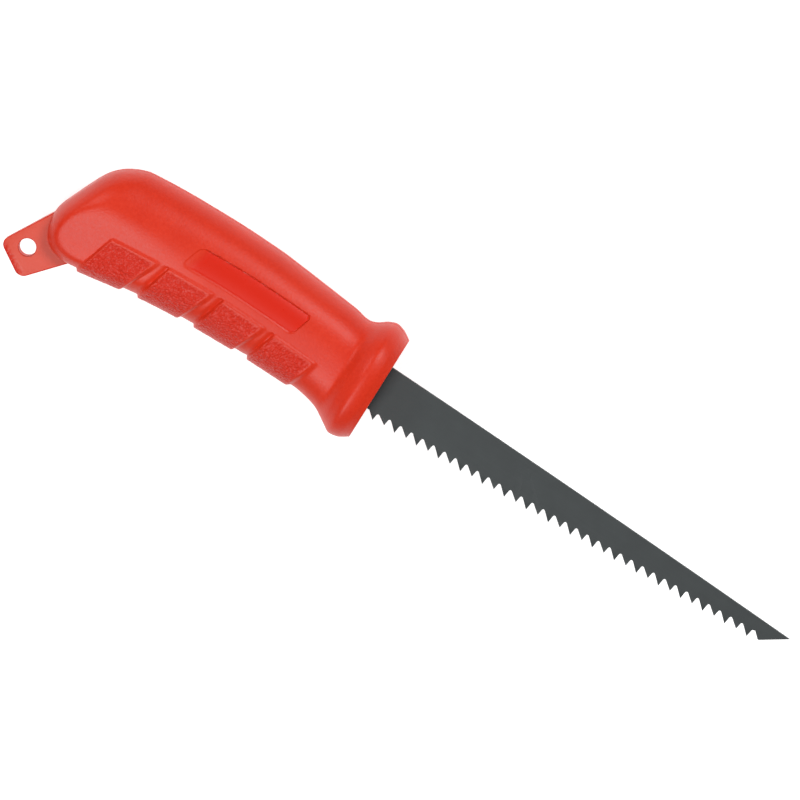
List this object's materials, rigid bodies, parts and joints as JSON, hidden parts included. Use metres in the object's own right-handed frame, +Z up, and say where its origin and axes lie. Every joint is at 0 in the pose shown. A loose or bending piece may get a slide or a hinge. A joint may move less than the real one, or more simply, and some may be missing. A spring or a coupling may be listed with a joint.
{
  "type": "drywall saw",
  "caption": "Jab saw for plasterboard: tapered toothed blade with a pointed tip, in a hollow moulded grip with guard, finger pads and hanging tab.",
  "frame": {"origin": "under the middle of the saw's bounding box, on the surface that it lies on", "axes": "+X along the blade from the hanging tab to the pointed tip, +Y from the teeth to the back of the blade, +Z up through the thickness of the handle"},
  "size_m": [0.293, 0.0542, 0.036],
  "materials": {
    "handle_plastic": "satin moulded red plastic with a fine mould texture and pebbled finger pads",
    "blade_steel": "dark grey blackened steel, satin",
    "screw_zinc": "zinc-plated steel"
  },
  "bodies": {
    "root": {"right_handle_shell": "handle_plastic", "left_handle_shell": "handle_plastic", "saw_blade": "blade_steel", "front_tang_screw": "screw_zinc", "rear_tang_screw": "screw_zinc", "middle_handle_screw": "screw_zinc", "rear_handle_screw": "screw_zinc"}
  },
  "joints": []
}
